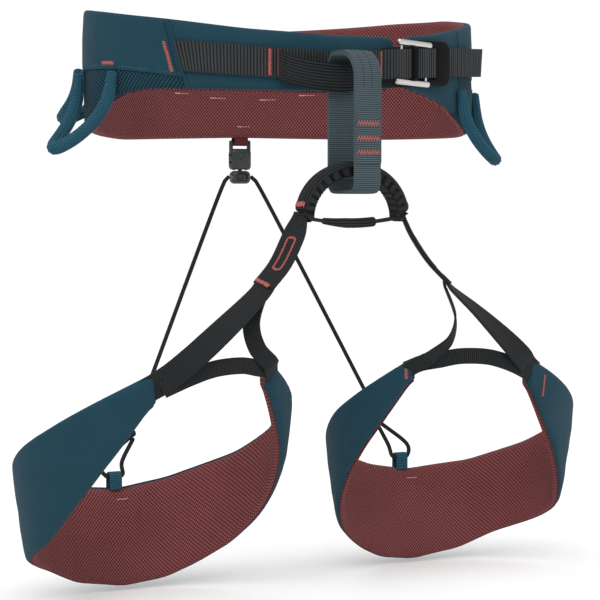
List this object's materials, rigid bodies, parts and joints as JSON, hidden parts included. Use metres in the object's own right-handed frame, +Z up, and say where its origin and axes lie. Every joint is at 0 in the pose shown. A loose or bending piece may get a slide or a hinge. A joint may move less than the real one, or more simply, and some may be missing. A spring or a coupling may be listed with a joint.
{
  "type": "climbing harness",
  "caption": "Sport climbing harness in its worn shape: padded waist belt with buckle, belay loop, gear loops, and leg loops hung from a bridge and elastic rear risers.",
  "frame": {"origin": "middle of the waist ring, at the height of the waist webbing at the sides", "axes": "+Z up, -Y to the front, +X toward the wearer's left"},
  "size_m": [0.4308, 0.2176, 0.3998],
  "materials": {
    "shell_cloth": "woven, matt",
    "open_mesh": "open knitted mesh",
    "spacer_mesh": "knitted spacer mesh",
    "foam": "closed-cell foam, hidden",
    "black_webbing": "ribbed webbing",
    "grey_webbing": "plain webbing",
    "binding": "flat woven tape",
    "steel": "polished",
    "black_metal": "satin anodised",
    "black_plastic": "moulded, satin",
    "elastic_cord": "braided elastic"
  },
  "bodies": {
    "waist_belt": {"waist_lining": "spacer_mesh", "waist_foam": "foam", "waist_shell_front_right": "shell_cloth", "waist_shell_side_right": "shell_cloth", "waist_shell_back": "shell_cloth", "waist_shell_side_left": "shell_cloth", "waist_shell_front_left": "shell_cloth", "waist_mesh_right": "open_mesh", "waist_mesh_left": "open_mesh", "waist_webbing": "black_webbing", "waist_webbing_tail": "black_webbing", "buckle_guard": "black_webbing", "buckle_plate": "black_metal", "tie_in_sleeve": "black_webbing", "leg_bridge": "black_webbing", "bridge_cross_strap": "black_webbing", "riser_tab": "binding", "riser_socket": "black_plastic", "riser_plug": "black_plastic", "riser_cord_right": "elastic_cord", "riser_cord_left": "elastic_cord"},
    "belay_loop": {"belay_loop": "grey_webbing"},
    "buckle_frame": {"buckle_frame": "steel"},
    "leg_loop_right": {"leg_lining_right": "spacer_mesh", "leg_foam_right": "foam", "leg_shell_right": "shell_cloth", "leg_strap_right": "black_webbing", "leg_strand_outer_right": "black_webbing", "leg_strand_inner_right": "black_webbing", "leg_keeper_right": "black_webbing", "leg_riser_tab_right": "shell_cloth", "riser_knot_right": "elastic_cord", "riser_loop_right": "elastic_cord"},
    "leg_loop_left": {"leg_lining_left": "spacer_mesh", "leg_foam_left": "foam", "leg_shell_left": "shell_cloth", "leg_strap_left": "black_webbing", "leg_strand_outer_left": "black_webbing", "leg_strand_inner_left": "black_webbing", "leg_keeper_left": "black_webbing", "leg_riser_tab_left": "shell_cloth", "riser_knot_left": "elastic_cord", "riser_loop_left": "elastic_cord"},
    "riser_prong_right": {"riser_prong_right": "black_plastic"},
    "riser_prong_left": {"riser_prong_left": "black_plastic"},
    "gear_loop_front_right": {"gear_loop_front_right": "shell_cloth"},
    "gear_loop_rear_right": {"gear_loop_rear_right": "shell_cloth"},
    "gear_loop_front_left": {"gear_loop_front_left": "shell_cloth"},
    "gear_loop_rear_left": {"gear_loop_rear_left": "shell_cloth"},
    "haul_loop": {"haul_loop": "black_webbing"}
  },
  "joints": [
    {"name": "belay_loop_swing", "type": "hinge", "parent": "waist_belt", "child": "belay_loop", "pos_m": [0.001, -0.0915, -0.003], "axis": [1, 0, 0], "range_deg": [-3.5, 4]},
    {"name": "leg_right_swing", "type": "hinge", "parent": "waist_belt", "child": "leg_loop_right", "pos_m": [-0.04, -0.105, -0.113], "axis": [1, 0, 0], "range_deg": [-30, 12], "stiffness_Nm_per_rad": 2, "springref_deg": 2.29, "deforming": ["leg_strap_right", "riser_cord_right"]},
    {"name": "leg_left_swing", "type": "hinge", "parent": "waist_belt", "child": "leg_loop_left", "pos_m": [0.04, -0.105, -0.113], "axis": [1, 0, 0], "range_deg": [-30, 12], "stiffness_Nm_per_rad": 2, "springref_deg": 2.29, "deforming": ["leg_strap_left", "riser_cord_left"]},
    {"name": "gear_loop_front_right_swing", "type": "hinge", "parent": "waist_belt", "child": "gear_loop_front_right", "pos_m": [-0.14482, -0.00925, -0.016], "axis": [-0.2032, 0.9791, 0], "range_deg": [0, 55]},
    {"name": "gear_loop_rear_right_swing", "type": "hinge", "parent": "waist_belt", "child": "gear_loop_rear_right", "pos_m": [-0.1229, 0.04319, -0.012], "axis": [0.7512, 0.66, 0], "range_deg": [0, 55]},
    {"name": "gear_loop_front_left_swing", "type": "hinge", "parent": "waist_belt", "child": "gear_loop_front_left", "pos_m": [0.13519, -0.0354, -0.024], "axis": [-0.6641, -0.7476, 0], "range_deg": [0, 55]},
    {"name": "gear_loop_rear_left_swing", "type": "hinge", "parent": "waist_belt", "child": "gear_loop_rear_left", "pos_m": [0.14274, 0.02642, -0.012], "axis": [0.5313, -0.8472, 0], "range_deg": [0, 55]},
    {"name": "haul_loop_swing", "type": "hinge", "parent": "waist_belt", "child": "haul_loop", "pos_m": [0.003, 0.08318, 0.002], "axis": [1, 0, 0], "range_deg": [0, 55]},
    {"name": "buckle_frame_slide", "type": "slide", "parent": "waist_belt", "child": "buckle_frame", "axis": [0.9757, 0.2191, 0], "range_m": [-0.003, 0]},
    {"name": "riser_prong_right_squeeze", "type": "hinge", "parent": "waist_belt", "child": "riser_prong_right", "pos_m": [0.001, 0.076, -0.079], "axis": [0, 1, 0], "range_deg": [0, 7], "stiffness_Nm_per_rad": 0.02},
    {"name": "riser_prong_left_squeeze", "type": "hinge", "parent": "waist_belt", "child": "riser_prong_left", "pos_m": [0.011, 0.076, -0.079], "axis": [0, -1, 0], "range_deg": [0, 7], "stiffness_Nm_per_rad": 0.02}
  ]
}
